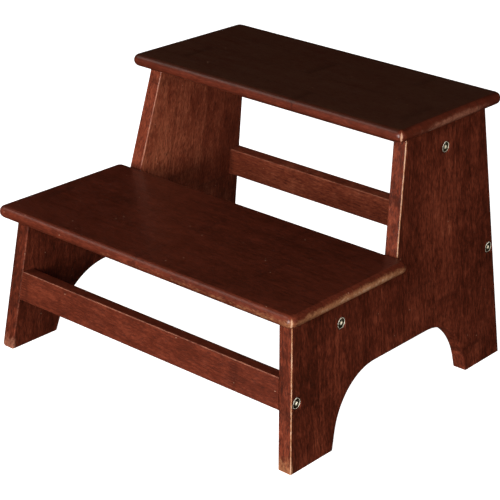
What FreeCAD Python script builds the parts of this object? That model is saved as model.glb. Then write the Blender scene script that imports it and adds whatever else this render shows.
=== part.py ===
import FreeCAD, Part
import math
import os

# Two-step wooden stool: two splayed side panels carry two bullnosed treads. A front stretcher, a rear
# stretcher and a cross rail under each tread run between the panels. Each end of those four cross boards is
# held by a connector bolt in a barrel nut and is kept from turning by a dowel.
#
# Frame, in millimetres: X across the stool, +Y from the front to the back, +Z up. The origin is on the floor
# at the centre of the stool's plan. "Lean" is a sideways shift for each unit of height.

# ---- Driving dimensions ------------------------------------------------------------------------------

# Boards
BOARD = 18.0                # thickness of the panels, stretchers and rails
TREAD = 15.0                # thickness of both treads
ARRIS = 1.5                 # radius of the eased edges of the panels, stretchers and rails

# Overall
DEPTH = 423.0               # from the nose of the lower tread to the back of the rear feet
FOOT_SPREAD = 456.0         # across the outsides of the panels, at the floor
LOWER_STEP = 188.0          # height of the lower tread's top
UPPER_STEP = 336.0          # height of the upper tread's top

# Side panels
SPLAY = 0.1075              # inward lean of both panels
FRONT_LEAN = 0.079          # backward lean of the front edge, below the lower tread
RISER_LEAN = 0.170          # backward lean of the front edge between the two treads
REAR_LEAN = 0.0875          # forward lean of the rear edge
RISER_FOOT = 0.0            # Y of the edge between the treads where it meets the lower tread's top
FOOT_WIDTH = 74.5           # width of each foot at the floor
ARCH_RISE = 79.0            # height of the arch between the feet
ARCH_RADIUS = 80.0          # radius of the arch's two upper corners
ARCH_LEAN_FRONT = 0.27      # inward lean of the arch on the front foot
ARCH_LEAN_REAR = 0.20       # inward lean of the arch on the rear foot

# Treads
LOWER_LENGTH = 451.0
LOWER_NOSE = 20.7           # overhang past the panels' front edges
UPPER_LENGTH = 410.0
UPPER_DEPTH = 207.0
UPPER_NOSE = 26.0           # overhang past the panels' front edges
TREAD_CORNER = 9.5          # radius of a tread's corners, seen from above
BULLNOSE = 7.4              # radius of a tread's rounded edge, above and below
TREAD_GAP = 0.3             # gap between the lower tread and the panels' upper part

# Stretchers and rails
STRETCHER_HEIGHT = 37.5
FRONT_STRETCHER_MID = 85.5  # height of the middle of each stretcher
REAR_STRETCHER_MID = 150.0
STRETCHER_SET_BACK = 0.5    # how far a stretcher's face lies inside the panels' edge
RAIL_HEIGHT = 39.0          # rails that support the treads

# Connector bolts and barrel nuts: M6, flat head with a hexagon socket
BOLT_DROP = 7.0             # bolt axis below the middle of a stretcher
RAIL_BOLT_DROP = 10.5       # the same for a rail
BOLT_RADIUS = 3.0
BOLT_LENGTH = 55.0          # under the head
BOLT_TIP_CHAMFER = 0.8
HEAD_RADIUS = 7.0
HEAD_HEIGHT = 2.4
HEAD_RIM_ROUND = 0.9
HEAD_SUNK = 0.3             # head's outer face below the panel's face, at the bolt's axis
SOCKET_FLATS = 4.0
SOCKET_DEPTH = 1.8
NECK_RADIUS = 3.9           # plain neck under the head
NECK_LENGTH = 6.0
NUT_RADIUS = 5.0
NUT_LENGTH = 14.0
NUT_INSET = 32.0            # nut axis from the end of its board
NUT_SLOT_WIDTH = 1.2
NUT_SLOT_DEPTH = 1.2
NUT_HOLE_DEPTH = 16.0
CLEARANCE = 0.25            # between hardware and its hole, on the radius
HOLE_SPARE = 2.0            # extra length of a hole beyond the tip of what is in it

# Dowels
DOWEL_RADIUS = 4.0
DOWEL_LIFT = 9.0            # dowel axis above the middle of its board
DOWEL_LENGTH = 30.0         # in the ends of the stretchers and rails
DOWEL_IN_PANEL = 10.0
TREAD_DOWEL_LENGTH = 25.0   # in the tops of the panels
DOWEL_IN_TREAD = 9.0
DOWEL_CHAMFER = 0.8
DOWEL_GAP = 0.05            # between a dowel and its hole, on the radius
GLUE_SPACE = 0.5            # at each end of a dowel
TREAD_DOWEL_PITCH = 90.0    # between the two dowels in the top of a panel

# Wood screws, up through each rail into its tread
SCREW_PITCH = 110.0
SCREW_COUNT = 3
SCREW_LENGTH = 40.0
SCREW_RADIUS = 2.0
SCREW_HEAD_RADIUS = 3.8
SCREW_HEAD_HEIGHT = 2.4
SCREW_IN_TREAD = 11.0
SCREW_POINT = 4.0           # length of the conical point
SCREW_DRIVE_RADIUS = 1.4
SCREW_DRIVE_DEPTH = 1.4

# ---- Worked out from them ----------------------------------------------------------------------------

X_AXIS = FreeCAD.Vector(1, 0, 0)
Y_AXIS = FreeCAD.Vector(0, 1, 0)
Z_AXIS = FreeCAD.Vector(0, 0, 1)
ORIGIN = FreeCAD.Vector(0, 0, 0)
SPLAY_ANGLE = math.atan(SPLAY)
BOARD_ACROSS = BOARD / math.cos(SPLAY_ANGLE)    # a panel's thickness measured along X
LOWER_SEAT = LOWER_STEP - TREAD
UPPER_SEAT = UPPER_STEP - TREAD
LOWER_FRONT = -DEPTH / 2
LOWER_REAR = RISER_FOOT - TREAD_GAP
FRONT_FOOT = LOWER_FRONT + LOWER_NOSE - FRONT_LEAN * LOWER_SEAT
REAR_FOOT = DEPTH / 2


def vec(x, y, z):
    return FreeCAD.Vector(x, y, z)


def outer_x(z):
    """Distance from the middle plane to a panel's outer face, at height z."""
    return FOOT_SPREAD / 2 - SPLAY * z


def inner_x(z):
    return outer_x(z) - BOARD_ACROSS


def front_edge(z):
    return FRONT_FOOT + FRONT_LEAN * z


def riser_edge(z):
    return RISER_FOOT + RISER_LEAN * (z - LOWER_STEP)


def rear_edge(z):
    return REAR_FOOT - REAR_LEAN * z


UPPER_FRONT = riser_edge(UPPER_SEAT) - UPPER_NOSE
UPPER_REAR = UPPER_FRONT + UPPER_DEPTH


def mirrored(shape):
    return shape.mirror(ORIGIN, X_AXIS)


def peg(radius, length, start, direction):
    """A round bar or hole from its start along a direction."""
    return Part.makeCylinder(radius, length, start, direction)


def chamfered_peg(radius, length, chamfer, start, direction):
    bar = peg(radius, length, start, direction)
    rims = [edge for edge in bar.Edges if edge.isClosed()]
    return bar.makeChamfer(chamfer, rims)


# ---- Cross boards ------------------------------------------------------------------------------------

# One entry for each cross board: its height, the place of its middle, its backward lean, and how far the
# bolts' axis is below its middle.
CROSS_BOARDS = {
    "front_stretcher": {
        "height": STRETCHER_HEIGHT,
        "y": front_edge(FRONT_STRETCHER_MID) + STRETCHER_SET_BACK + BOARD / 2,
        "z": FRONT_STRETCHER_MID,
        "lean": FRONT_LEAN,
        "bolt_drop": BOLT_DROP,
    },
    "rear_stretcher": {
        "height": STRETCHER_HEIGHT,
        "y": rear_edge(REAR_STRETCHER_MID) - STRETCHER_SET_BACK - BOARD / 2,
        "z": REAR_STRETCHER_MID,
        "lean": -REAR_LEAN,
        "bolt_drop": BOLT_DROP,
    },
    "lower_tread_rail": {
        "height": RAIL_HEIGHT,
        "y": (LOWER_FRONT + LOWER_REAR) / 2,
        "z": LOWER_SEAT - RAIL_HEIGHT / 2,
        "lean": 0.0,
        "bolt_drop": RAIL_BOLT_DROP,
    },
    "upper_tread_rail": {
        "height": RAIL_HEIGHT,
        "y": (UPPER_FRONT + UPPER_REAR) / 2,
        "z": UPPER_SEAT - RAIL_HEIGHT / 2,
        "lean": 0.0,
        "bolt_drop": RAIL_BOLT_DROP,
    },
}


def placement(board):
    """From a cross board's own frame, centred on its middle, to the stool's frame."""
    tilt = FreeCAD.Rotation(X_AXIS, -math.degrees(math.atan(board["lean"])))
    return FreeCAD.Placement(vec(0, board["y"], board["z"]), tilt)


def bolt_axis(board):
    """The point of a bolt's axis on the middle plane."""
    return placement(board).multVec(vec(0, 0, -board["bolt_drop"]))


def dowel_axis(board):
    return placement(board).multVec(vec(0, 0, DOWEL_LIFT))


def bolt_head_x(board):
    return outer_x(bolt_axis(board).z) - HEAD_SUNK


def nut_x(board):
    return inner_x(bolt_axis(board).z) - NUT_INSET


def space_between_panels():
    """The trapezoid between the inner faces of the two panels."""
    corners = [
        vec(-inner_x(0), -DEPTH, 0),
        vec(inner_x(0), -DEPTH, 0),
        vec(inner_x(UPPER_STEP), -DEPTH, UPPER_STEP),
        vec(-inner_x(UPPER_STEP), -DEPTH, UPPER_STEP),
    ]
    face = Part.Face(Part.makePolygon(corners + corners[:1]))
    return face.extrude(Y_AXIS * (2 * DEPTH))


def bolt_hole(board):
    """Right-hand hole through the panel and into the board, with the head's counterbore."""
    axis = bolt_axis(board)
    head = vec(bolt_head_x(board), axis.y, axis.z)
    seat = vec(head.x - HEAD_HEIGHT, axis.y, axis.z)
    mouth = vec(head.x + BOARD, axis.y, axis.z)
    neck = peg(NECK_RADIUS + CLEARANCE, NECK_LENGTH + 1, seat, -X_AXIS)
    bore = peg(BOLT_RADIUS + CLEARANCE, BOLT_LENGTH + HOLE_SPARE, seat, -X_AXIS)
    counterbore = peg(HEAD_RADIUS + CLEARANCE, mouth.x - seat.x, mouth, -X_AXIS)
    return bore.fuse([neck, counterbore])


def dowel_start(board):
    """Outer end of the right-hand dowel in the end of a cross board."""
    axis = dowel_axis(board)
    return vec(inner_x(axis.z) + DOWEL_IN_PANEL, axis.y, axis.z)


def dowel_hole(board):
    start = dowel_start(board) + X_AXIS * GLUE_SPACE
    return peg(DOWEL_RADIUS + DOWEL_GAP, DOWEL_LENGTH + 2 * GLUE_SPACE, start, -X_AXIS)


def nut_hole(board):
    """Right-hand blind hole for a barrel nut, open at the back of its board."""
    back = vec(nut_x(board), BOARD / 2, -board["bolt_drop"])
    hole = peg(NUT_RADIUS + CLEARANCE, NUT_HOLE_DEPTH, back, -Y_AXIS)
    hole.Placement = placement(board).multiply(hole.Placement)
    return hole


def both_sides(shape):
    return [shape, mirrored(shape)]


def screw_places(board):
    """The screws' heads, as points on the board's lower edge."""
    first = -SCREW_PITCH * (SCREW_COUNT - 1) / 2
    z = board["z"] - board["height"] / 2
    return [vec(first + index * SCREW_PITCH, board["y"], z) for index in range(SCREW_COUNT)]


def screw_seat(board):
    """Height of the underside of a screw's head, inside the rail."""
    top = board["z"] + board["height"] / 2
    return top + SCREW_IN_TREAD - SCREW_LENGTH


def screw_clearance(board):
    """The counterbores and shank holes that a rail's screws go through."""
    holes = []
    for place in screw_places(board):
        depth = screw_seat(board) - place.z
        holes.append(peg(SCREW_HEAD_RADIUS + CLEARANCE, depth, place, Z_AXIS))
        holes.append(peg(SCREW_RADIUS + CLEARANCE, board["height"], place, Z_AXIS))
    return holes


def cross_board(board):
    blank = Part.makeBox(
        FOOT_SPREAD, BOARD, board["height"],
        vec(-FOOT_SPREAD / 2, -BOARD / 2, -board["height"] / 2),
    )
    long_edges = [edge for edge in blank.Edges if edge.Length > FOOT_SPREAD - 1]
    blank = blank.makeFillet(ARRIS, long_edges)
    blank.Placement = placement(board)
    cut = blank.common(space_between_panels())
    holes = both_sides(bolt_hole(board)) + both_sides(nut_hole(board)) + both_sides(dowel_hole(board))
    if board["height"] == RAIL_HEIGHT:
        holes += screw_clearance(board)
    return cut.cut(holes)


# ---- Treads ------------------------------------------------------------------------------------------

def bullnosed_slab(length, front, rear, seat):
    """A tread blank that stands on its seat height, rounded over on every side."""
    slab = Part.makeBox(length, rear - front, TREAD, vec(-length / 2, front, seat))
    corners = [edge for edge in slab.Edges if abs(edge.tangentAt(edge.FirstParameter).z) > 0.9]
    slab = slab.makeFillet(TREAD_CORNER, corners)
    middle = seat + TREAD / 2
    rims = [edge for edge in slab.Edges if abs(edge.CenterOfMass.z - middle) > TREAD / 2 - 0.1]
    return slab.makeFillet(BULLNOSE, rims)


def tread_dowel_tops(board, seat):
    """Upper ends of the right-hand dowels between a panel and a tread."""
    x = (outer_x(seat) + inner_x(seat)) / 2
    half = TREAD_DOWEL_PITCH / 2
    return [vec(x, board["y"] + side * half, seat + DOWEL_IN_TREAD) for side in (-1, 1)]


def tread_dowel_holes(board, seat):
    holes = []
    for top in tread_dowel_tops(board, seat):
        start = top + Z_AXIS * GLUE_SPACE
        length = TREAD_DOWEL_LENGTH + 2 * GLUE_SPACE
        holes += both_sides(peg(DOWEL_RADIUS + DOWEL_GAP, length, start, -Z_AXIS))
    return holes


def screw_pilots(board, seat):
    """Holes in a tread's underside for the points of its rail's screws."""
    depth = SCREW_IN_TREAD + GLUE_SPACE
    return [
        peg(SCREW_RADIUS + DOWEL_GAP, depth, vec(place.x, place.y, seat), Z_AXIS)
        for place in screw_places(board)
    ]


def lower_tread():
    board = CROSS_BOARDS["lower_tread_rail"]
    slab = bullnosed_slab(LOWER_LENGTH, LOWER_FRONT, LOWER_REAR, LOWER_SEAT)
    return slab.cut(tread_dowel_holes(board, LOWER_SEAT) + screw_pilots(board, LOWER_SEAT))


def upper_tread():
    board = CROSS_BOARDS["upper_tread_rail"]
    slab = bullnosed_slab(UPPER_LENGTH, UPPER_FRONT, UPPER_REAR, UPPER_SEAT)
    return slab.cut(tread_dowel_holes(board, UPPER_SEAT) + screw_pilots(board, UPPER_SEAT))


# ---- Side panels -------------------------------------------------------------------------------------

SPARE = 12.0                # length left on the panel blank above and below, trimmed level afterwards


def panel_outline():
    """Corners of the right-hand panel's blank, as (Y, height), from the front foot round to the arch."""
    ledge = (LOWER_SEAT + LOWER_STEP) / 2
    low, high = -SPARE, UPPER_SEAT + SPARE
    arch_front = FRONT_FOOT + FOOT_WIDTH
    arch_rear = REAR_FOOT - FOOT_WIDTH
    return [
        (front_edge(low), low),
        (front_edge(ledge), ledge),
        (RISER_FOOT, ledge),
        (RISER_FOOT, LOWER_STEP),
        (riser_edge(high), high),
        (rear_edge(high), high),
        (rear_edge(low), low),
        (arch_rear - ARCH_LEAN_REAR * low, low),
        (arch_rear - ARCH_LEAN_REAR * ARCH_RISE, ARCH_RISE),
        (arch_front + ARCH_LEAN_FRONT * ARCH_RISE, ARCH_RISE),
        (arch_front + ARCH_LEAN_FRONT * low, low),
    ]


def panel_blank():
    """The board, square to its faces: outer face on X = 0, with a rounded arch and eased arrises."""
    corners = [vec(0, y, z / math.cos(SPLAY_ANGLE)) for y, z in panel_outline()]
    board = Part.Face(Part.makePolygon(corners + corners[:1])).extrude(-X_AXIS * BOARD)
    arch_height = ARCH_RISE / math.cos(SPLAY_ANGLE)
    arch_corners = [
        edge for edge in board.Edges
        if abs(edge.Length - BOARD) < 0.01 and abs(edge.CenterOfMass.z - arch_height) < 0.01
    ]
    board = board.makeFillet(ARCH_RADIUS, arch_corners)
    arrises = [
        edge for edge in board.Edges
        if edge.BoundBox.XLength < 0.01
    ]
    return board.makeFillet(ARRIS, arrises)


def right_panel():
    panel = panel_blank()
    panel.rotate(ORIGIN, Y_AXIS, -math.degrees(SPLAY_ANGLE))
    panel.translate(X_AXIS * (FOOT_SPREAD / 2))
    level = Part.makeBox(
        FOOT_SPREAD, 2 * DEPTH, UPPER_SEAT,
        vec(0, -DEPTH, 0),
    )
    ledge = Part.makeBox(
        FOOT_SPREAD, DEPTH + RISER_FOOT, TREAD,
        vec(0, -DEPTH, LOWER_SEAT),
    )
    holes = [bolt_hole(board) for board in CROSS_BOARDS.values()]
    holes += [dowel_hole(board) for board in CROSS_BOARDS.values()]
    holes += tread_dowel_holes(CROSS_BOARDS["lower_tread_rail"], LOWER_SEAT)
    holes += tread_dowel_holes(CROSS_BOARDS["upper_tread_rail"], UPPER_SEAT)
    return panel.common(level).cut([ledge] + holes)


# ---- Hardware ----------------------------------------------------------------------------------------

def hexagon(flats, depth, centre):
    """A hexagonal recess that goes inwards from its centre, along -X."""
    radius = flats / math.sqrt(3)
    corners = [
        centre + vec(0, radius * math.cos(math.radians(60 * k)), radius * math.sin(math.radians(60 * k)))
        for k in range(6)
    ]
    return Part.Face(Part.makePolygon(corners + corners[:1])).extrude(-X_AXIS * depth)


def connector_bolt(board):
    """Right-hand bolt: a thin round head with a hexagon socket, a plain neck and an M6 shank."""
    axis = bolt_axis(board)
    face = vec(bolt_head_x(board), axis.y, axis.z)
    under_head = face - X_AXIS * HEAD_HEIGHT
    head = peg(HEAD_RADIUS, HEAD_HEIGHT, face, -X_AXIS)
    rim = [edge for edge in head.Edges if edge.isClosed() and abs(edge.CenterOfMass.x - face.x) < 0.01]
    head = head.makeFillet(HEAD_RIM_ROUND, rim)
    neck = peg(NECK_RADIUS, NECK_LENGTH, under_head, -X_AXIS)
    shank = chamfered_peg(
        BOLT_RADIUS, BOLT_LENGTH + HEAD_HEIGHT / 2, BOLT_TIP_CHAMFER,
        under_head + X_AXIS * (HEAD_HEIGHT / 2), -X_AXIS,
    )
    return head.fuse([neck, shank]).cut(hexagon(SOCKET_FLATS, SOCKET_DEPTH, face)).removeSplitter()


def barrel_nut(board):
    """Right-hand cross dowel nut, flush inside the back of its board, with a screwdriver slot."""
    inset = (NUT_HOLE_DEPTH - NUT_LENGTH) / 2
    back = vec(nut_x(board), BOARD / 2 - inset, -board["bolt_drop"])
    nut = chamfered_peg(NUT_RADIUS, NUT_LENGTH, DOWEL_CHAMFER, back, -Y_AXIS)
    thread = peg(BOLT_RADIUS + CLEARANCE, 2 * NUT_RADIUS, vec(back.x + NUT_RADIUS, 0, back.z), -X_AXIS)
    slot = Part.makeBox(
        2 * NUT_RADIUS, NUT_SLOT_DEPTH, NUT_SLOT_WIDTH,
        vec(back.x - NUT_RADIUS, back.y - NUT_SLOT_DEPTH, back.z - NUT_SLOT_WIDTH / 2),
    )
    nut = nut.cut([thread, slot])
    nut.Placement = placement(board).multiply(nut.Placement)
    return nut


def end_dowels(board):
    dowel = chamfered_peg(DOWEL_RADIUS, DOWEL_LENGTH, DOWEL_CHAMFER, dowel_start(board), -X_AXIS)
    return Part.makeCompound(both_sides(dowel))


def tread_dowels(board, seat):
    dowels = []
    for top in tread_dowel_tops(board, seat):
        dowel = chamfered_peg(DOWEL_RADIUS, TREAD_DOWEL_LENGTH, DOWEL_CHAMFER, top, -Z_AXIS)
        dowels += both_sides(dowel)
    return Part.makeCompound(dowels)


def wood_screw(place, seat):
    """A pan-head screw whose head bears upwards on the bottom of its counterbore."""
    under_head = vec(place.x, place.y, seat)
    head = peg(SCREW_HEAD_RADIUS, SCREW_HEAD_HEIGHT, under_head, -Z_AXIS)
    rim = [edge for edge in head.Edges if edge.isClosed() and edge.CenterOfMass.z < seat - 0.01]
    head = head.makeFillet(SCREW_HEAD_HEIGHT / 2, rim)
    shank = peg(SCREW_RADIUS, SCREW_LENGTH - SCREW_POINT, under_head, Z_AXIS)
    point = Part.makeCone(
        SCREW_RADIUS, SCREW_RADIUS / 10, SCREW_POINT,
        under_head + Z_AXIS * (SCREW_LENGTH - SCREW_POINT), Z_AXIS,
    )
    bottom = under_head - Z_AXIS * SCREW_HEAD_HEIGHT
    drive = Part.makeCone(SCREW_DRIVE_RADIUS, SCREW_DRIVE_RADIUS / 3, SCREW_DRIVE_DEPTH, bottom, Z_AXIS)
    return head.fuse([shank, point]).cut(drive).removeSplitter()


def rail_screws(board):
    seat = screw_seat(board)
    return Part.makeCompound([wood_screw(place, seat) for place in screw_places(board)])


# ---- Assembly ----------------------------------------------------------------------------------------

def stool():
    """Every piece of the stool, by name."""
    panel = right_panel()
    pieces = {
        "side_panel_right": panel,
        "side_panel_left": mirrored(panel),
        "lower_tread": lower_tread(),
        "upper_tread": upper_tread(),
    }
    for name, board in CROSS_BOARDS.items():
        pieces[name] = cross_board(board)
        bolt = connector_bolt(board)
        nut = barrel_nut(board)
        pieces[name + "_bolt_right"] = bolt
        pieces[name + "_bolt_left"] = mirrored(bolt)
        pieces[name + "_nut_right"] = nut
        pieces[name + "_nut_left"] = mirrored(nut)
        pieces[name + "_dowels"] = end_dowels(board)
    for step, seat in (("lower", LOWER_SEAT), ("upper", UPPER_SEAT)):
        board = CROSS_BOARDS[step + "_tread_rail"]
        pieces[step + "_tread_dowels"] = tread_dowels(board, seat)
        pieces[step + "_tread_screws"] = rail_screws(board)
    return pieces


os.makedirs("parts", exist_ok=True)
for node, shape in stool().items():
    shape.exportStep(os.path.join("parts", node + ".step"))
    bounds = shape.BoundBox
    print(
        f"{node:32s} solids {len(shape.Solids)} valid {shape.isValid()} volume {shape.Volume / 1000:9.2f} cm3"
        f"  X {bounds.XMin:7.1f} {bounds.XMax:7.1f}  Y {bounds.YMin:7.1f} {bounds.YMax:7.1f}"
        f"  Z {bounds.ZMin:6.1f} {bounds.ZMax:6.1f}"
    )
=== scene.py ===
import math
import random

import bmesh
import bpy
from mathutils import Matrix, Quaternion, Vector


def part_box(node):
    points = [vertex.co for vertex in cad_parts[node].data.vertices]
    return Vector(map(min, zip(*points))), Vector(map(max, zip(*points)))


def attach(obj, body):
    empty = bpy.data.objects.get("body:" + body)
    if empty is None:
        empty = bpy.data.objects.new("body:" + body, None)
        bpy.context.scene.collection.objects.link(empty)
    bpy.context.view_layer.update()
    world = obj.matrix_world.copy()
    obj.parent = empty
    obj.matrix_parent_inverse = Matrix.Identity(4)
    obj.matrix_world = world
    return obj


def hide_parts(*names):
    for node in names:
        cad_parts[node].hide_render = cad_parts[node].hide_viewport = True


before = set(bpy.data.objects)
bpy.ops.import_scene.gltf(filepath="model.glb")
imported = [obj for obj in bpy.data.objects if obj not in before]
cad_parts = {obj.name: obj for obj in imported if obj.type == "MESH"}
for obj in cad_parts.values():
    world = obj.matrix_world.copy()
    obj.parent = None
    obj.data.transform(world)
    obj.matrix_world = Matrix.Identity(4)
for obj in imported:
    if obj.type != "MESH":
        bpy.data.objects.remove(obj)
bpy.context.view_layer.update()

# A two-step wooden stool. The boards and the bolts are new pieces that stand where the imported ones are. The
# barrel nuts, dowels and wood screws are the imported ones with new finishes. Everything is in metres.

# ---- Sizes ---------------------------------------------------------------------------------------------

MM = 0.001
BOARD = 18 * MM             # panels, stretchers and rails
ARRIS = 1.5 * MM            # eased edges of those boards
ARRIS_STEPS = 4
SPLAY = 0.1075              # inward lean of both panels
FRONT_LEAN = 0.079
RISER_LEAN = 0.170
REAR_LEAN = 0.0875
FOOT_WIDTH = 74.5 * MM
ARCH_RISE = 79 * MM
ARCH_RADIUS = 80 * MM
ARCH_STEPS = 28
ARCH_LEAN_FRONT = 0.27
ARCH_LEAN_REAR = 0.20
TREAD_CORNER = 9.5 * MM
BULLNOSE = 7.4 * MM
BULLNOSE_STEPS = 8
STRETCHER_HEIGHT = 37.5 * MM
RAIL_HEIGHT = 39 * MM
NUT_HOLE_RADIUS = 5.25 * MM
NUT_HOLE_DEPTH = 16 * MM
SCREW_HOLE_RADIUS = 4.05 * MM
SCREW_HOLE_DEPTH = 10.5 * MM
HOLE_LIP = 0.5 * MM         # chamfer round the mouth of each hole
HEAD_RADIUS = 7 * MM
HEAD_HEIGHT = 2.4 * MM
HEAD_CLEARANCE = 0.25 * MM
NECK_LENGTH = 6 * MM        # of a bolt's shank, next to its head
SOCKET_FLATS = 4 * MM
SOCKET_DEPTH = 1.7 * MM
DISH_INNER = 2.3 * MM       # the dull ring round a bolt's socket
DISH_OUTER = 5.7 * MM
ROUND_STEPS = 48            # flats round a hole or a bolt
SPARE = 12 * MM             # length left on a blank before it is trimmed
CHIP = 3.4 * MM             # lost from the outer front corner of the left foot
CHIP_FACES = Vector((1.0, -0.8, -0.75))
HEEL = 14 * MM              # height of the rubbed outer corner at a panel's rear foot
TOE = 9 * MM                # the same at its front foot
SHARP_ANGLE = math.radians(40)

SPLAY_ANGLE = math.atan(SPLAY)
BOARD_ACROSS = BOARD / math.cos(SPLAY_ANGLE)

PANEL_LOW, PANEL_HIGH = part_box("side_panel_right")
LOWER_LOW, LOWER_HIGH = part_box("lower_tread")
UPPER_LOW, UPPER_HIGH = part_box("upper_tread")
RISER_FOOT = round(LOWER_HIGH.y / MM) * MM      # the panels' edge starts just behind the lower tread


def outer_x(z):
    """Distance from the middle plane to a panel's outer face."""
    return PANEL_HIGH.x - SPLAY * z


def inner_x(z):
    return outer_x(z) - BOARD_ACROSS


def front_edge(z):
    return PANEL_LOW.y + FRONT_LEAN * z


def riser_edge(z):
    return RISER_FOOT + RISER_LEAN * (z - LOWER_HIGH.z)


def rear_edge(z):
    return PANEL_HIGH.y - REAR_LEAN * z


# ---- Mesh helpers --------------------------------------------------------------------------------------

WEAR = "wear"               # 1 on an edge that hands and feet rub, 0 on a flat face
ARRIS_FACES = 1             # material index that marks an eased edge while a board is being made
PANEL_PITCH = 9 * MM        # spacing of the lines between which the wear can vary
TREAD_PITCH = 20 * MM
TREAD_DEPTH_PITCH = 12 * MM
CROSS_PITCH = 14 * MM
SHELTERED = 0.68            # share of the wear that an inner arris below the lower tread gets
KNOCK_AND_GLINT_ANGLE = 45            # of a knock on a tread's front right corner, in degrees, and its spread; its pale streak is partly a painted highlight
KNOCK_AND_GLINT_SPREAD = 12


def fresh_mesh(bm):
    mesh = bpy.data.meshes.new("blank")
    bm.to_mesh(mesh)
    bm.free()
    return mesh


def carved(bm, cutter):
    """The board with the cutter's shapes taken out."""
    scene = bpy.context.scene.collection
    board = bpy.data.objects.new("board_blank", fresh_mesh(bm))
    tool = bpy.data.objects.new("cutter", fresh_mesh(cutter))
    scene.objects.link(board)
    scene.objects.link(tool)
    hole = board.modifiers.new("hole", "BOOLEAN")
    hole.object = tool
    hole.operation = "DIFFERENCE"
    hole.solver = "EXACT"
    depsgraph = bpy.context.evaluated_depsgraph_get()
    mesh = bpy.data.meshes.new_from_object(board.evaluated_get(depsgraph))
    result = bmesh.new()
    result.from_mesh(mesh)
    bpy.data.objects.remove(board)
    bpy.data.objects.remove(tool)
    return result


def add_drill(bm, mouth, inward, radius, depth):
    """Adds a cutter for a blind hole to bm: a flared mouth, a straight wall and a flat bottom."""
    axis = Vector(inward).normalized()
    turn = Vector((0, 0, 1)).rotation_difference(axis).to_matrix().to_4x4()
    place = Matrix.Translation(mouth) @ turn
    start = -4 * HOLE_LIP - MM
    flare = radius + HOLE_LIP - start
    profile = [(0, start), (flare, start), (radius, HOLE_LIP), (radius, depth), (0, depth)]
    verts = [bm.verts.new((r, 0, z)) for r, z in profile]
    edges = [bm.edges.new(pair) for pair in zip(verts, verts[1:])]
    made = spun(bm, verts + edges, (0, 0, 1))
    bmesh.ops.transform(bm, matrix=place, verts=made)


def spun(bm, geometry, axis):
    """Turns an open profile all the way round an axis through the origin, and returns its vertices."""
    before = set(bm.verts) - {item for item in geometry if isinstance(item, bmesh.types.BMVert)}
    bmesh.ops.spin(
        bm, geom=geometry, cent=(0, 0, 0), axis=axis, angle=math.tau, steps=ROUND_STEPS, use_merge=True,
    )
    made = [vert for vert in bm.verts if vert not in before]
    bmesh.ops.remove_doubles(bm, verts=made, dist=MM / 1000)
    made = [vert for vert in bm.verts if vert not in before]
    faces = list({face for vert in made for face in vert.link_faces})
    bmesh.ops.recalc_face_normals(bm, faces=faces)
    return made


def trim(bm, point, outward):
    """Saws the board off on a plane and closes the cut."""
    cut = bmesh.ops.bisect_plane(
        bm, geom=bm.verts[:] + bm.edges[:] + bm.faces[:], plane_co=point, plane_no=outward, clear_outer=True,
    )
    edges = [item for item in cut["geom_cut"] if isinstance(item, bmesh.types.BMEdge)]
    bmesh.ops.contextual_create(bm, geom=edges)


def ease(bm, edges, radius, steps):
    """Rounds edges over and marks the new faces."""
    bmesh.ops.bevel(
        bm, geom=edges, offset=radius, segments=steps, profile=0.5, affect="EDGES", material=ARRIS_FACES,
        clamp_overlap=True,
    )


def scribe(bm, axis, pitch):
    """Scores lines across the board at a pitch along an axis, so that its wear can vary between them."""
    direction = Vector((0, 0, 0))
    direction[axis] = 1
    reach = [vert.co[axis] for vert in bm.verts]
    first, last = min(reach), max(reach)
    count = int((last - first) / pitch)
    for step in range(1, count + 1):
        point = direction * (first + step * (last - first) / (count + 1))
        geometry = bm.verts[:] + bm.edges[:] + bm.faces[:]
        bmesh.ops.bisect_plane(bm, geom=geometry, plane_co=point, plane_no=direction)


def mark_wear(bm, rub):
    """Gives each vertex its wear: rub(place) inside an eased edge, and 0 on and beyond its border."""
    layer = bm.verts.layers.float.new(WEAR)
    for vert in bm.verts:
        inside = all(face.material_index == ARRIS_FACES for face in vert.link_faces)
        vert[layer] = rub(vert.co) if inside else 0.0
    for face in bm.faces:
        face.material_index = 0


def piece(name, bm, material, slot, *nodes):
    """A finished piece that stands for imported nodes."""
    for face in bm.faces:
        face.smooth = True
    mesh = fresh_mesh(bm)
    mesh.name = name
    mesh.set_sharp_from_angle(angle=SHARP_ANGLE)
    mesh.materials.append(material)
    made = bpy.data.objects.new(name, mesh)
    bpy.context.scene.collection.objects.link(made)
    weighted = made.modifiers.new("even_shading", "WEIGHTED_NORMAL")
    weighted.keep_sharp = True
    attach(made, "root")
    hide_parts(*nodes)
    return made


# ---- Shader helper -------------------------------------------------------------------------------------

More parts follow.
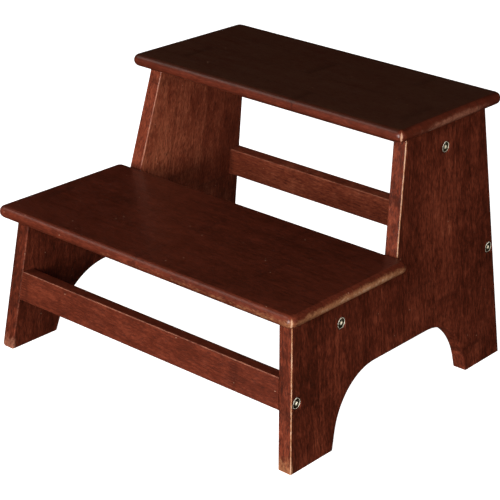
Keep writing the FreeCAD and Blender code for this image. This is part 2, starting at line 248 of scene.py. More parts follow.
class Wire:
    """An output socket of a material. Arithmetic on it adds Math nodes, and make() adds any other node."""

    def __init__(self, tree, socket=None):
        self.tree = tree
        self.socket = socket

    def make(self, kind, settings=None, sockets=None, out=0):
        node = self.tree.nodes.new(kind)
        for key, value in (settings or {}).items():
            if key == "stops":
                ramp = node.color_ramp.elements
                for place, colour in value[1:-1]:
                    ramp.new(place)
                while len(ramp) > max(len(value), 1):
                    ramp.remove(ramp[-1])
                for element, (place, colour) in zip(ramp, value):
                    element.position = place
                    element.color = colour
            elif key == "interpolation":
                node.color_ramp.interpolation = value
            else:
                setattr(node, key, value)
        for key, value in (sockets or {}).items():
            if isinstance(value, Wire):
                self.tree.links.new(value.socket, node.inputs[key])
            else:
                node.inputs[key].default_value = value
        return Wire(self.tree, node.outputs[out])

    def math(self, operation, *values):
        return self.make("ShaderNodeMath", {"operation": operation}, dict(enumerate(values)))

    def __add__(self, other):
        return self.math("ADD", self, other)

    def __radd__(self, other):
        return self.math("ADD", other, self)

    def __sub__(self, other):
        return self.math("SUBTRACT", self, other)

    def __rsub__(self, other):
        return self.math("SUBTRACT", other, self)

    def __mul__(self, other):
        return self.math("MULTIPLY", self, other)

    def __rmul__(self, other):
        return self.math("MULTIPLY", other, self)

    def __truediv__(self, other):
        return self.math("DIVIDE", self, other)

    def between(self, low, high):
        """0 below low, 1 above high, and smooth in between."""
        return self.make(
            "ShaderNodeMapRange", {"interpolation_type": "SMOOTHSTEP"},
            {"Value": self, "From Min": low, "From Max": high},
        )

    def tint(self, factor, first, second):
        """Mixes two colours by a factor."""
        return self.make("ShaderNodeMix", {"data_type": "RGBA"}, {0: factor, 6: first, 7: second}, out=2)


def new_material(name):
    """A material's tree with its Principled shader in place, and the Wire to start from."""
    material = bpy.data.materials.new(name)
    material.use_nodes = True
    shader = material.node_tree.nodes["Principled BSDF"]
    return material, shader, Wire(material.node_tree)


def set_sockets(shader, **values):
    """Sets the shader's sockets to constants or links, with _ for a space in a name."""
    for key, value in values.items():
        socket = shader.inputs[key.replace("_", " ")]
        if isinstance(value, Wire):
            value.tree.links.new(value.socket, socket)
        else:
            socket.default_value = value


def rgb(red, green, blue):
    return (red, green, blue, 1.0)


def object_axes(start):
    """Object coordinates, as three wires."""
    place = start.make("ShaderNodeTexCoord", out="Object")
    return [start.make("ShaderNodeSeparateXYZ", {}, {0: place}, out=axis) for axis in "XYZ"]


def vector(start, x, y, z):
    return start.make("ShaderNodeCombineXYZ", {}, {"X": x, "Y": y, "Z": z})


def noise(start, place, scale=1.0, detail=2.0, roughness=0.5):
    return start.make(
        "ShaderNodeTexNoise", {},
        {"Vector": place, "Scale": scale, "Detail": detail, "Roughness": roughness},
    )


def grain_noise(start, along, across, through, detail):
    """Noise drawn out along the grain, from -0.5 to 0.5."""
    return noise(start, vector(start, along, across, through), detail=detail) - 0.5


def felt(start, height, strength, depth):
    """A relief that only the light feels."""
    sockets = {"Strength": strength, "Distance": depth, "Height": height}
    return start.make("ShaderNodeBump", {}, sockets, out="Normal")


# ---- Finishes ------------------------------------------------------------------------------------------

STAIN_IN_PORES = rgb(0.012, 0.0026, 0.0012)
STAIN_BROWN = rgb(0.060, 0.0220, 0.0118)
STAIN_DEEP = rgb(0.045, 0.0088, 0.0038)
STAIN_MID = rgb(0.102, 0.0180, 0.0080)
STAIN_RED = rgb(0.205, 0.0410, 0.0185)
STAIN_THIN = rgb(0.360, 0.0980, 0.0460)
GOLDEN = rgb(0.420, 0.180, 0.080)       # stain brushed thin, on some boards
ROSY = rgb(0.400, 0.160, 0.095)         # the same on the others
BARE_WOOD = rgb(0.560, 0.330, 0.210)

REACH = 0.25                # the boards lie within this far of the middle plane, across the grain
LENGTH_OF_STAVE = 0.33      # between two finger joints
FINGER = 0.010              # length of a joint's fingers
FINGER_PITCH = 0.0030
RING_PITCH = 0.0046         # of the growth rings across the grain, and of their arches along it
ARCH_PITCH = 0.050
RING_BOW = 0.00016          # rounds the tops of the arches
SCUFF = 0.040               # how far up a foot's front edge is scuffed
RUB_TINT = 0.85             # how much of the stain a rubbed place can lose

# Staves of a board, from front to back: where each starts, how much paler or darker it is, and the height of
# one of its finger joints.
RIGHT_STAVES = [
    (-REACH, -0.05, 0.40), (-0.151, -0.07, -0.06), (-0.063, 0.01, 0.26), (0.010, 0.02, 0.47),
    (0.070, 0.04, 0.11), (0.121, 0.00, 0.36), (0.176, -0.07, 0.52),
]
LEFT_STAVES = [
    (-REACH, -0.12, 0.064), (-0.160, -0.10, 0.45), (-0.075, -0.03, 0.22), (0.000, 0.30, 0.302),
    (0.056, 0.22, 0.49), (0.118, 0.18, 0.13), (0.170, 0.14, 0.38),
]
UPPER_STAVES = [
    (-REACH, 0.00, 0.05), (0.036, -0.01, 0.18), (0.092, 0.01, -0.07), (0.149, 0.00, 0.12),
]
LOWER_STAVES = [
    (-REACH, 0.00, -0.02), (-0.158, 0.01, 0.13), (-0.104, -0.01, -0.12), (-0.052, 0.00, 0.09),
]
ONE_STAVE = [(-REACH, 0.0, 0.14)]


def panel_grain(side):
    """Grain runs up a side panel."""
    return lambda x, y, z: (z, y, x * side + z * SPLAY)


def tread_grain(x, y, z):
    """Grain runs across the stool."""
    return x, y, z


def cross_grain(lean):
    return lambda x, y, z: (x, z, y - z * lean)


def stained_board(
    name, grain, seed, tone, staves, nose_tone=0.0, contrast=1.0, thin=ROSY, foot=None, front_tone=0.0,
    riser_tone=0.0,
):
    """Dark red-brown stain under satin lacquer, over staves that are glued edge to edge and finger-jointed.

    The tones add to the paleness: tone everywhere, nose_tone on eased edges, and front_tone and riser_tone on
    a panel's front. Thin is the colour of thinned stain, and foot is where a panel's front meets the floor.
    """
    material, shader, start = new_material(name)
    along, across, through = grain(*object_axes(start))
    place = vector(start, along, across, through)
    dice = random.Random(seed)

    # Each stave's own tone, heart and joint, as the three channels of a stepped ramp
    ends = [stave[0] for stave in staves[1:]] + [REACH]
    stops = []
    for (edge, paler, joint), end in zip(staves, ends):
        heart = (max(edge, -0.2) + min(end, 0.2)) / 2 + dice.uniform(-0.5, 0.5) * 0.02
        of_edge = (edge + REACH) / (2 * REACH)
        of_heart = (heart + REACH) / (2 * REACH)
        stops.append((of_edge, (paler + 0.5, of_heart, joint, 1.0)))
    steps = {"stops": stops, "interpolation": "CONSTANT"}
    of_stave = start.make("ShaderNodeValToRGB", steps, {"Fac": (across + REACH) * (0.5 / REACH)}, out="Color")
    channels = [start.make("ShaderNodeSeparateColor", {}, {0: of_stave}, out=channel) for channel in range(3)]
    stave_tone = channels[0] - 0.5
    heart = channels[1] * (2 * REACH) - REACH
    joint = channels[2]

    # Finger joints
    fingers = start.math("PINGPONG", across / FINGER_PITCH, 0.5)
    lengths = (along + fingers * FINGER - joint) / LENGTH_OF_STAVE
    number = start.math("FLOOR", lengths)
    place_in_length = lengths - number
    joint_distance = start.math("MINIMUM", place_in_length, 1 - place_in_length) * LENGTH_OF_STAVE
    joint_line = 1 - joint_distance.between(0.0005, 0.0014)
    teeth = fingers.between(0.18, 0.32) * (1 - joint_distance.between(0.0050, 0.0070))
    lot = number * 3.7 + heart * 53.0 + seed
    luck = start.make("ShaderNodeTexWhiteNoise", {"noise_dimensions": "1D"}, {"W": lot}, out="Value")
    shift = luck * 5.0 + heart * 60.0 + seed
    glue_line = 0.0
    for edge, _, _ in staves[1:]:
        near = 1 - start.math("ABSOLUTE", across - edge).between(0.0002, 0.0011)
        glue_line = near + glue_line

    # Grain
    sway = grain_noise(start, along * 9.0 + shift, across * 14.0, through * 14.0, 2.0)
    waved = across + sway * 0.010
    broad = grain_noise(start, along * 6.0 + shift, waved * 60.0, through * 60.0, 3.0)
    streaks = grain_noise(start, along * 24.0, waved * 190.0 + shift, through * 190.0, 3.0)
    flecks = grain_noise(start, along * 120.0 + shift, waved * 400.0, through * 400.0, 3.0)
    fine = grain_noise(start, along * 240.0, waved * 900.0 + shift, through * 900.0, 2.0)
    pores = grain_noise(start, along * 110.0 + shift, across * 800.0, through * 800.0, 2.0)
    pore_mask = pores.between(0.05, 0.16)
    off_heart = waved - heart
    bow = start.math("SQRT", off_heart * off_heart + RING_BOW)
    growth = bow * (math.tau / RING_PITCH) + along * (math.tau / ARCH_PITCH) + broad * 14.0 + shift
    rings = start.math("SINE", growth)

    # Stain: cloudy, and of another tone on the eased edges and on a panel's front
    cloud = noise(start, place, scale=9.0, detail=3.0, roughness=0.55) - 0.5
    blotch = noise(start, place, scale=46.0, detail=3.0, roughness=0.6) - 0.5
    wear = start.make("ShaderNodeAttribute", {"attribute_name": WEAR}, out="Fac")
    figure = (
        broad * 0.38 + streaks * 0.42 + flecks * 0.66 + fine * 0.60 + rings * 0.030
        + cloud * 0.34 + blotch * 0.42 + (luck - 0.5) * 0.07
    )
    value = tone + stave_tone + figure * contrast + wear.between(0.0, 0.3) * nose_tone
    if foot is not None:
        off_front = across - along * FRONT_LEAN - front_edge(0.0)
        off_riser = across - along * RISER_LEAN - riser_edge(0.0)
        upper_part = along.between(LOWER_LOW.z - MM, LOWER_LOW.z + MM)
        value = value + (1 - off_front.between(0.0008, 0.0020)) * (1 - upper_part) * front_tone
        value = value + (1 - off_riser.between(0.0008, 0.0020)) * upper_part * riser_tone
    stains = [STAIN_BROWN, STAIN_DEEP, STAIN_MID, STAIN_RED, STAIN_THIN]
    paleness = {"stops": [(0.25 * step, stain) for step, stain in enumerate(stains)]}
    stained = start.make("ShaderNodeValToRGB", paleness, {"Fac": value}, out="Color")
    lines = start.math("MAXIMUM", start.math("MAXIMUM", glue_line * 0.40, joint_line * 0.45), teeth * 0.34)
    darkened = start.math("MAXIMUM", pore_mask * (0.55 * contrast), lines)
    stained = start.tint(darkened, stained, STAIN_IN_PORES)

    # Wear: paler where an edge is brushed thin, bare where it is rubbed through, and a few pale specks
    brushed = grain_noise(start, along * 45.0, across * 160.0, through * 160.0, 4.0)
    patchy = noise(start, place, scale=34.0, detail=4.0, roughness=0.65) - 0.5
    grit = grain_noise(start, along * 260.0, across * 520.0, through * 520.0, 2.0)
    rubbed = wear + patchy * 0.60 + brushed * 0.40 + grit * 0.60
    edge_only = wear.between(0.04, 0.30)
    thinned = rubbed.between(0.55, 1.10) * edge_only
    rubbed_through = rubbed.between(1.00, 1.20) * edge_only
    if foot is not None:
        low_front = (1 - across.between(foot + 0.003, foot + 0.006)) * (1 - along.between(0.004, SCUFF))
        scuffed = (low_front + patchy * 1.4 + grit * 0.8).between(0.60, 1.30)
        thinned = start.math("MAXIMUM", thinned, scuffed)
    speck_field = start.make("ShaderNodeTexVoronoi", {}, {"Vector": place, "Scale": 105.0}, out="Distance")
    speck_chance = noise(start, place, scale=23.0, detail=1.0)
    specks = (1 - speck_field.between(0.050, 0.090)) * speck_chance.between(0.57, 0.62)
    bare = start.math("MAXIMUM", rubbed_through, specks * 0.7)
    colour = start.tint(thinned * RUB_TINT, stained, thin)
    colour = start.tint(bare * RUB_TINT, colour, BARE_WOOD)

    # Lacquer: satin, with the pores just felt through it
    ripple = noise(start, place, scale=130.0, detail=1.0) - 0.5
    relief = flecks * 0.35 + fine * 0.30 - pore_mask * 0.8 - lines * 0.9 + ripple * 0.25 - bare * 0.5
    bump = felt(start, relief, 0.25, 0.0004)
    set_sockets(
        shader,
        Base_Color=colour,
        Roughness=0.40 + blotch * 0.20 + pore_mask * 0.08 + bare * 0.25,
        Specular_IOR_Level=0.25,
        Coat_Weight=(1 - bare) * 0.25,
        Coat_Roughness=0.20,
        Coat_IOR=1.45,
        Normal=bump,
    )
    return material


def beech(name):
    """Plain pale dowel wood with long fine flecks."""
    material, shader, start = new_material(name)
    x, y, z = object_axes(start)
    streaks = noise(start, vector(start, x * 60.0, y * 900.0, z * 900.0), detail=3.0)
    flecks = noise(start, vector(start, x * 240.0, y * 1800.0, z * 1800.0), detail=1.0)
    colour = start.tint(streaks.between(0.3, 0.7), rgb(0.42, 0.25, 0.12), rgb(0.60, 0.40, 0.22))
    colour = start.tint(flecks.between(0.60, 0.70) * 0.6, colour, rgb(0.28, 0.15, 0.07))
    bump = felt(start, streaks, 0.3, 0.0002)
    set_sockets(shader, Base_Color=colour, Roughness=0.62 + (streaks - 0.5) * 0.2, Normal=bump)
    return material


def zinc(name):
    """Bright zinc plate, clouded and faintly scratched."""
    material, shader, start = new_material(name)
    x, y, z = object_axes(start)
    place = vector(start, x, y, z)
    cloud = noise(start, place, scale=260.0, detail=3.0, roughness=0.6)
    scratches = noise(start, vector(start, x * 3000.0, y * 300.0, z * 3000.0), detail=2.0)
    colour = start.tint(cloud.between(0.35, 0.7), rgb(0.50, 0.51, 0.52), rgb(0.72, 0.72, 0.71))
    bump = felt(start, scratches, 0.15, 0.0001)
    set_sockets(shader, Base_Color=colour, Metallic=1.0, Roughness=0.30 + (cloud - 0.5) * 0.25, Normal=bump)
    return material


def plated_bolt(name):
    """Warm nickel plate, bright on the rim and dark and dull in the dish."""
    material, shader, start = new_material(name)
    x, y, z = object_axes(start)
    place = vector(start, x, y, z)
    dish = start.make("ShaderNodeAttribute", {"attribute_name": WEAR}, out="Fac")
    cloud = noise(start, place, scale=420.0, detail=3.0, roughness=0.6)
    turning = noise(start, vector(start, x * 900.0, y * 90.0, z * 90.0), scale=8.0, detail=2.0)
    bright = start.tint(cloud.between(0.35, 0.7), rgb(0.78, 0.69, 0.50), rgb(1.00, 0.95, 0.82))
    dull = start.tint(cloud.between(0.3, 0.7), rgb(0.030, 0.026, 0.012), rgb(0.10, 0.080, 0.042))
    colour = start.tint(dish, bright, dull)
    bump = felt(start, turning + cloud, 0.12, 0.0001)
    set_sockets(
        shader,
        Base_Color=colour,
        Metallic=0.20 + dish * 0.50,
        Roughness=0.34 + dish * 0.12 + (cloud - 0.5) * 0.12,
        Normal=bump,
    )
    return material


# ---- Side panels ---------------------------------------------------------------------------------------

def arc(bm, corner_before, corner, corner_after):
    """Rounds a corner of the arch: the vertices of an arc that touches both straight stretches."""
    arriving = (corner - corner_before).normalized()
    leaving = (corner_after - corner).normalized()
    turn = arriving.angle(leaving)
    tangent = ARCH_RADIUS * math.tan(turn / 2)
    axis = arriving.cross(leaving).normalized()
    first = bm.verts.new(corner - arriving * tangent)
    centre = first.co + axis.cross(arriving) * ARCH_RADIUS
    swept = bmesh.ops.spin(bm, geom=[first], cent=centre, axis=axis, angle=turn, steps=ARCH_STEPS)
    ordered = [first]
    last = swept["geom_last"][0]
    while ordered[-1] is not last:
        onward = [edge.other_vert(ordered[-1]) for edge in ordered[-1].link_edges]
        ordered.append(next(vert for vert in onward if vert not in ordered))
    return ordered


def panel_face(bm):
    """The panel's outline, with Z up the board and its outer face on X = 0."""
    seat = LOWER_LOW.z
    low, high = -SPARE, PANEL_HIGH.z + SPARE
    arch_front = PANEL_LOW.y + FOOT_WIDTH
    arch_rear = PANEL_HIGH.y - FOOT_WIDTH
    stretch = 1 / math.cos(SPLAY_ANGLE)
    corners = [
        (front_edge(low), low),
        (front_edge(seat), seat),
        (RISER_FOOT, seat),
        (RISER_FOOT, LOWER_HIGH.z),
        (riser_edge(high), high),
        (rear_edge(high), high),
        (rear_edge(low), low),
        (arch_rear - ARCH_LEAN_REAR * low, low),
        (arch_rear - ARCH_LEAN_REAR * ARCH_RISE, ARCH_RISE),
        (arch_front + ARCH_LEAN_FRONT * ARCH_RISE, ARCH_RISE),
        (arch_front + ARCH_LEAN_FRONT * low, low),
    ]
    points = [Vector((0, y, z * stretch)) for y, z in corners]
    straight = [bm.verts.new(point) for point in points[:8]]
    rear_arc = arc(bm, points[7], points[8], points[9])
    front_arc = arc(bm, points[8], points[9], points[10])
    loop = straight + rear_arc + front_arc + [bm.verts.new(points[10])]
    return bm.faces.new(loop)


def level_ledge(bm):
    """Brings the inner edge of the ledge up to the lower tread's underside."""
    seat = LOWER_LOW.z
    for vert in bm.verts:
        on_ledge = seat - 3 * MM < vert.co.z < seat - MM / 10 and vert.co.x < outer_x(seat) - BOARD / 2
        if on_ledge:
            rise = seat - vert.co.z
            lean = FRONT_LEAN if vert.co.y < RISER_FOOT - MM else 0.0
            vert.co += Vector((-SPLAY, lean, 1)) * rise


def is_arris(edge):
    """True for an edge of a big face, apart from the ledge that carries the tread."""
    along_board = len({round(vert.co.x + SPLAY * vert.co.z, 5) for vert in edge.verts}) == 1
    on_ledge = all(abs(vert.co.z - LOWER_LOW.z) < MM / 10 for vert in edge.verts)
    notch = all(abs(vert.co.y - RISER_FOOT) < MM / 10 for vert in edge.verts)
    return along_board and not on_ledge and not notch


def bolt_places():
    """The middle of each right-hand bolt head's outer face, by the name of its board."""
    places = {}
    for board in ("front_stretcher", "rear_stretcher", "lower_tread_rail", "upper_tread_rail"):
        low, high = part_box(board + "_bolt_right")
        places[board] = Vector((high.x, (low.y + high.y) / 2, (low.z + high.z) / 2))
    return places


def panel_rub(outer_rub, inner_rub, rest, heel_rub, toe_rub):
    """How rubbed a panel's arrises are: at the front, elsewhere, and at the feet's outer corners."""
    def rub(place):
        outside = abs(place.x) > (outer_x(place.z) + inner_x(place.z)) / 2
        if outside and place.z < TOE and place.y < 0:
            return toe_rub
        if outside and place.z < HEEL and place.y > rear_edge(0) - 3 * MM:
            return heel_rub
        edge = front_edge(place.z) if place.z < LOWER_LOW.z else riser_edge(place.z)
        if place.y > edge + 3 * MM:
            return rest
        if outside:
            return outer_rub
        return inner_rub if place.z > LOWER_HIGH.z else inner_rub * SHELTERED
    return rub


def side_panel(name, side, material, rub, chipped):
    bm = bmesh.new()
    face = panel_face(bm)
    swept = bmesh.ops.extrude_face_region(bm, geom=[face])
    moved = [item for item in swept["geom"] if isinstance(item, bmesh.types.BMVert)]
    bmesh.ops.translate(bm, verts=moved, vec=(-BOARD, 0, 0))
    bmesh.ops.recalc_face_normals(bm, faces=bm.faces)
    bmesh.ops.rotate(bm, verts=bm.verts, cent=(0, 0, 0), matrix=Matrix.Rotation(-SPLAY_ANGLE, 3, "Y"))
    bmesh.ops.translate(bm, verts=bm.verts, vec=(PANEL_HIGH.x, 0, 0))
    level_ledge(bm)
    ease(bm, [edge for edge in bm.edges if is_arris(edge)], ARRIS, ARRIS_STEPS)
    trim(bm, (0, 0, 0), (0, 0, -1))
    trim(bm, (0, 0, PANEL_HIGH.z), (0, 0, 1))
    cutter = bmesh.new()
    for head in bolt_places().values():
        mouth = Vector((outer_x(head.z), head.y, head.z))
        depth = mouth.x - head.x + HEAD_HEIGHT
        add_drill(cutter, mouth, (-1, 0, 0), HEAD_RADIUS + HEAD_CLEARANCE, depth)
    bm = carved(bm, cutter)
    if chipped:
        corner = Vector((outer_x(0), front_edge(0), 0))
        trim(bm, corner + Vector((-CHIP, 0, 0)), CHIP_FACES)
    scribe(bm, 2, PANEL_PITCH)
    mark_wear(bm, rub)
    if side < 0:
        bmesh.ops.scale(bm, verts=bm.verts, vec=(-1, 1, 1))
        bmesh.ops.recalc_face_normals(bm, faces=bm.faces)
    node = "side_panel_right" if side > 0 else "side_panel_left"
    return piece(name, bm, material, "stained_board", node)


# ---- Treads --------------------------------------------------------------------------------------------

def tread_blank(low, high):
    """A slab with rounded corners in plan and a bullnose all round."""
    bm = bmesh.new()
    bmesh.ops.create_cube(bm, size=1.0)
    bmesh.ops.scale(bm, verts=bm.verts, vec=high - low)
    bmesh.ops.translate(bm, verts=bm.verts, vec=(low + high) / 2)
    upright = [edge for edge in bm.edges if abs(edge.verts[0].co.z - edge.verts[1].co.z) > MM]
    bmesh.ops.bevel(
        bm, geom=upright, offset=TREAD_CORNER, segments=BULLNOSE_STEPS, profile=0.5, affect="EDGES",
        material=-1,
    )
    rims = [edge for edge in bm.edges if abs(edge.verts[0].co.z - edge.verts[1].co.z) < MM / 10]
    ease(bm, rims, BULLNOSE, BULLNOSE_STEPS)
    for face in bm.faces:
        if abs(face.normal.z) < 0.1:
            face.material_index = ARRIS_FACES
    scribe(bm, 0, TREAD_PITCH)
    scribe(bm, 1, TREAD_DEPTH_PITCH)
    return bm


def tread_rub(low, high, end_rub, left_rub, right_rub, corner_rub_and_glint):
    """How rubbed a nose is: amid the right end, from left to right elsewhere, and at a knocked corner, whose
    streak is partly a painted highlight.
    """
    def rub(place):
        height = (place.z - low.z) / (high.z - low.z)
        upper_half = 0.35 + 0.65 * math.sin(math.pi * min(1.0, height * 0.95 + 0.10))
        along = (place.x - low.x) / (high.x - low.x)
        amount = left_rub + (right_rub - left_rub) * along
        inward = high.x - TREAD_CORNER - place.x
        if inward < 0:
            depth = (place.y - low.y) / (high.y - low.y)
            amount += (end_rub - amount) * math.sin(math.pi * depth) ** 0.7
            # The knocked corner's pale streak is partly real wear and partly a painted highlight, standing in
            # for a lamp's glint on the corner.
            angle = math.degrees(math.atan2(low.y + TREAD_CORNER - place.y, -inward))
            knock_and_glint = corner_rub_and_glint * math.exp(-(((angle - KNOCK_AND_GLINT_ANGLE) / KNOCK_AND_GLINT_SPREAD) ** 2))
            return max(amount * upper_half, knock_and_glint * math.sin(math.pi * height) ** 0.5)
        return amount * upper_half
    return rub


def upper_tread_board(material):
    bm = tread_blank(UPPER_LOW, UPPER_HIGH)
    # The strong corner streak on this tread is mostly a painted highlight, a white glint on its front right
    # corner.
    rub = tread_rub(UPPER_LOW, UPPER_HIGH, end_rub=0.88, left_rub=0.30, right_rub=0.32, corner_rub_and_glint=1.5)
    mark_wear(bm, rub)
    return piece("upper_tread_board", bm, material, "stained_board", "upper_tread")


def lower_tread_board(material):
    bm = tread_blank(LOWER_LOW, LOWER_HIGH)
    rub = tread_rub(LOWER_LOW, LOWER_HIGH, end_rub=1.06, left_rub=0.38, right_rub=0.78, corner_rub_and_glint=1.4)
    mark_wear(bm, rub)
    return piece("lower_tread_board", bm, material, "stained_board", "lower_tread")


# ---- Stretchers and rails ------------------------------------------------------------------------------

def cross_board(name, node, height, lean, material, rub):
    """A board between the panels, with its barrel nuts' holes at the back."""
    low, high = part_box(node)
    middle = Vector((0, (low.y + high.y) / 2, (low.z + high.z) / 2))
    tilt = Matrix.Rotation(-math.atan(lean), 4, "X")
    place = Matrix.Translation(middle) @ tilt
    bm = bmesh.new()
    bmesh.ops.create_cube(bm, size=1.0)
    bmesh.ops.scale(bm, verts=bm.verts, vec=(2 * PANEL_HIGH.x, BOARD, height))
    ease(bm, [edge for edge in bm.edges if edge.calc_length() > PANEL_HIGH.x], ARRIS, ARRIS_STEPS)
    bmesh.ops.transform(bm, matrix=place, verts=bm.verts)
    for side in (-1, 1):
        trim(bm, (side * inner_x(0), 0, 0), (side, 0, SPLAY))
    cutter = bmesh.new()
    backwards = tilt.to_3x3() @ Vector((0, 1, 0))
    for side in ("left", "right"):
        nut_low, nut_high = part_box(f"{node}_nut_{side}")
        nut = (nut_low + nut_high) / 2
        mouth = nut + backwards * (BOARD / 2 - (nut - middle).dot(backwards))
        add_drill(cutter, mouth, -backwards, NUT_HOLE_RADIUS, NUT_HOLE_DEPTH)
    if height == RAIL_HEIGHT:
        screws_low, screws_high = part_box(node.replace("rail", "screws"))
        reach = screws_high.x - (screws_high.y - screws_low.y) / 2
        for x in (-reach, 0, reach):
            add_drill(cutter, Vector((x, middle.y, low.z)), (0, 0, 1), SCREW_HOLE_RADIUS, SCREW_HOLE_DEPTH)
    bm = carved(bm, cutter)
    scribe(bm, 0, CROSS_PITCH)
    mark_wear(bm, lambda point: rub if point.y < middle.y and point.z > middle.z else rub * 0.5)
    return piece(name, bm, material, "stained_board", node)


# ---- Bolts ---------------------------------------------------------------------------------------------

def connector_bolt(board, head, side, material):
    """Bolt with a rolled rim, a shallow dish and a hexagon socket, and its shank behind.

    The rim's points are in millimetres: a radius, and a depth behind the frontmost ring of the head. They run
    from its flank over the rim and across the dish to the socket. The dish is marked for its dull finish.
    """
    shank_tip = head.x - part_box(f"{board}_bolt_right")[0].x
    neck = HEAD_HEIGHT + NECK_LENGTH
    rim = [
        (6.55, 2.40), (6.55, 0.85), (6.46, 0.42), (6.26, 0.10), (6.02, 0.00),
        (5.84, 0.12), (5.68, 0.45), (5.56, 0.90), (3.00, 1.05), (2.50, 0.66), (2.20, 0.70),
    ]
    shank = [(2.2, shank_tip), (3.0, shank_tip - 0.8 * MM), (3.0, neck), (3.9, neck), (3.9, HEAD_HEIGHT)]
    profile = [(0.0, shank_tip)] + [(r * MM, x) for r, x in shank]
    profile += [(r * MM, x * MM) for r, x in rim] + [(0.0, 0.70 * MM)]
    bm = bmesh.new()
    verts = [bm.verts.new((-x, r, 0)) for r, x in profile]
    edges = [bm.edges.new(pair) for pair in zip(verts, verts[1:])]
    spun(bm, verts + edges, (1, 0, 0))
    cutter = bmesh.new()
    socket_radius = SOCKET_FLATS / math.sqrt(3)
    bmesh.ops.create_cone(
        cutter, cap_ends=True, segments=6, radius1=socket_radius, radius2=socket_radius,
        depth=2 * SOCKET_DEPTH,
    )
    bmesh.ops.rotate(cutter, verts=cutter.verts, cent=(0, 0, 0), matrix=Matrix.Rotation(math.pi / 2, 3, "Y"))
    bm = carved(bm, cutter)
    layer = bm.verts.layers.float.new(WEAR)
    for vert in bm.verts:
        radius = math.hypot(vert.co.y, vert.co.z)
        in_dish = DISH_INNER < radius < DISH_OUTER and vert.co.x > -HEAD_HEIGHT / 2
        vert[layer] = 1.0 if in_dish else 0.0
    bmesh.ops.translate(bm, verts=bm.verts, vec=head)
    name = "right" if side > 0 else "left"
    if side < 0:
        bmesh.ops.scale(bm, verts=bm.verts, vec=(-1, 1, 1))
        bmesh.ops.recalc_face_normals(bm, faces=bm.faces)
    return piece(f"{board}_connector_{name}", bm, material, "bolt_metal", f"{board}_bolt_{name}")


# ---- Make the stool ------------------------------------------------------------------------------------

side_panel(
    "right_panel_board", 1,
    stained_board(
        "right_panel_stain", panel_grain(1), 3, tone=0.53, staves=RIGHT_STAVES, thin=GOLDEN,
        foot=front_edge(0), front_tone=0.09, riser_tone=0.06,
    ),
    panel_rub(outer_rub=1.08, inner_rub=0.60, rest=0.35, heel_rub=1.1, toe_rub=1.2), chipped=False,
)
side_panel(
    "left_panel_board", -1,
    stained_board(
        "left_panel_stain", panel_grain(-1), 8, tone=0.58, staves=LEFT_STAVES, foot=front_edge(0),
        riser_tone=-0.21,
    ),
    panel_rub(outer_rub=0.60, inner_rub=0.96, rest=0.35, heel_rub=0.5, toe_rub=1.5), chipped=True,
)
# Both treads get darker tones than the other boards. This is painted shade on their tops, which little light
# reaches, and it is darkest on the upper tread; nose_tone makes their eased edges paler again.
upper_tread_board(
    stained_board(
        "upper_tread_stain", tread_grain, 5, tone=0.06, staves=UPPER_STAVES, nose_tone=0.43, contrast=0.45,
    )
)
lower_tread_board(
    stained_board(
        "lower_tread_stain", tread_grain, 1, tone=0.36, staves=LOWER_STAVES, nose_tone=0.13, contrast=0.50,
        thin=GOLDEN,
    )
)
cross_board(
    "front_stretcher_board", "front_stretcher", STRETCHER_HEIGHT, FRONT_LEAN,
    stained_board(
        "front_stretcher_stain", cross_grain(FRONT_LEAN), 2, tone=0.51, staves=ONE_STAVE, contrast=0.55,
    ),
    rub=0.80,
)
cross_board(
    "rear_stretcher_board", "rear_stretcher", STRETCHER_HEIGHT, -REAR_LEAN,
    stained_board(
        "rear_stretcher_stain", cross_grain(-REAR_LEAN), 7, tone=0.70, staves=ONE_STAVE, contrast=0.80,
    ),
    rub=0.80,
)
cross_board(
    "lower_rail_board", "lower_tread_rail", RAIL_HEIGHT, 0.0,
    stained_board("lower_rail_stain", cross_grain(0.0), 4, tone=0.48, staves=ONE_STAVE), rub=0.40,
)
cross_board(
    "upper_rail_board", "upper_tread_rail", RAIL_HEIGHT, 0.0,
    stained_board("upper_rail_stain", cross_grain(0.0), 6, tone=0.48, staves=ONE_STAVE), rub=0.40,
)

bolt_plate = plated_bolt("warm_nickel")
for board_name, head_place in bolt_places().items():
    for side_sign in (-1, 1):
        connector_bolt(board_name, head_place, side_sign, bolt_plate)

dowel_wood = beech("dowel_beech")
zinc_plate = zinc("zinc_plate")
for node_name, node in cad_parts.items():
    if node_name.endswith("dowels"):
        node.data.materials.clear()
        node.data.materials.append(dowel_wood)
    elif "_nut_" in node_name or node_name.endswith("screws"):
        node.data.materials.clear()
        node.data.materials.append(zinc_plate)

# ---- Floor, light and camera ---------------------------------------------------------------------------

FLOOR_SIZE = 60.0
LIT_POINT = Vector((0, 0, 0.17))        # the lamps aim at it


def pale_floor():
    """A white sweep that glows a little, as a lit one does."""
    material, shader, start = new_material("pale_floor")
    cloud = noise(start, vector(start, *object_axes(start)), scale=0.8, detail=1.0)
    colour = start.tint(cloud, rgb(0.86, 0.86, 0.86), rgb(0.90, 0.90, 0.90))
    set_sockets(
        shader, Base_Color=colour, Roughness=0.9, Specular_IOR_Level=0.1,
        Emission_Color=rgb(1.0, 1.0, 1.0), Emission_Strength=1.0,
    )
    bm = bmesh.new()
    bmesh.ops.create_grid(bm, x_segments=1, y_segments=1, size=FLOOR_SIZE / 2)
    floor = bpy.data.objects.new("floor", fresh_mesh(bm))
    floor.data.materials.append(material)
    bpy.context.scene.collection.objects.link(floor)
    floor.visible_glossy = False
    floor.visible_diffuse = False


def towards(azimuth, elevation):
    """Unit vector from the stool to a place at an azimuth and an elevation, in degrees."""
    a, e = math.radians(azimuth), math.radians(elevation)
    return Vector((math.sin(a) * math.cos(e), -math.cos(a) * math.cos(e), math.sin(e)))


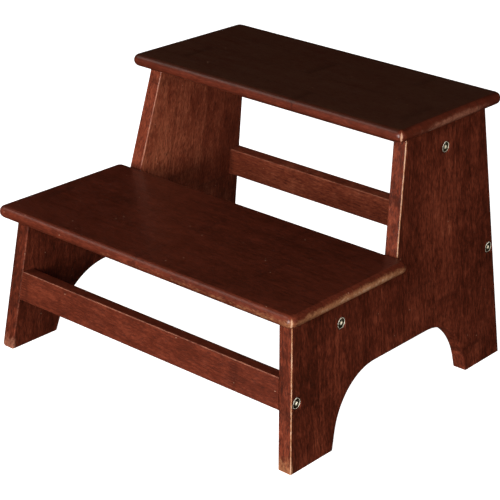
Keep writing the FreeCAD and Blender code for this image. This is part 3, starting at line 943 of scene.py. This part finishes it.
def soft_light(
    name, azimuth, elevation, distance, width, height, watts, mirrored=True, colour=(1, 1, 1),
):
    """A soft box aimed at the stool; one that is not mirrored lights it without showing in the lacquer."""
    lamp = bpy.data.lights.new(name, "AREA")
    lamp.shape = "RECTANGLE"
    lamp.size = width
    lamp.size_y = height
    lamp.energy = watts
    lamp.color = colour
    holder = bpy.data.objects.new(name, lamp)
    back = towards(azimuth, elevation)
    holder.location = LIT_POINT + back * distance
    holder.rotation_mode = "QUATERNION"
    holder.rotation_quaternion = back.to_track_quat("Z", "Y")
    holder.visible_glossy = mirrored
    bpy.context.scene.collection.objects.link(holder)


def camera(azimuth, elevation, roll, distance, lens, aim):
    lens_data = bpy.data.cameras.new("camera")
    lens_data.lens = lens
    lens_data.sensor_width = 36.0
    holder = bpy.data.objects.new("camera", lens_data)
    back = towards(azimuth, elevation)
    holder.location = aim + back * distance
    holder.rotation_mode = "QUATERNION"
    holder.rotation_quaternion = back.to_track_quat("Z", "Y") @ Quaternion((0, 0, 1), math.radians(roll))
    bpy.context.scene.collection.objects.link(holder)
    bpy.context.scene.camera = holder


pale_floor()
soft_light("key_light", azimuth=16, elevation=13, distance=2.6, width=0.7, height=1.5, watts=88)
soft_light(
    "side_fill", azimuth=80, elevation=12, distance=3.0, width=1.4, height=1.4, watts=27, mirrored=False,
)
soft_light(
    "left_fill", azimuth=-57, elevation=46, distance=2.8, width=1.3, height=1.3, watts=13,
    colour=(1.0, 0.85, 0.77),
)
soft_light(
    "rear_left_fill", azimuth=250, elevation=10, distance=3.2, width=1.8, height=1.8, watts=22,
    mirrored=False,
)
soft_light(
    "rear_fill", azimuth=192, elevation=6, distance=3.2, width=1.8, height=1.8, watts=16, mirrored=False,
)

world = bpy.data.worlds.new("studio")
world.use_nodes = True
world.node_tree.nodes["Background"].inputs["Color"].default_value = rgb(1.0, 1.0, 1.0)
world.node_tree.nodes["Background"].inputs["Strength"].default_value = 0.06
bpy.context.scene.world = world
world.cycles_visibility.glossy = False
bpy.context.scene.view_settings.view_transform = "Standard"

camera(
    azimuth=39.16, elevation=23.27, roll=2.13, distance=2.060, lens=122.67,
    aim=Vector((-0.0014, -0.0066, 0.1348)),
)
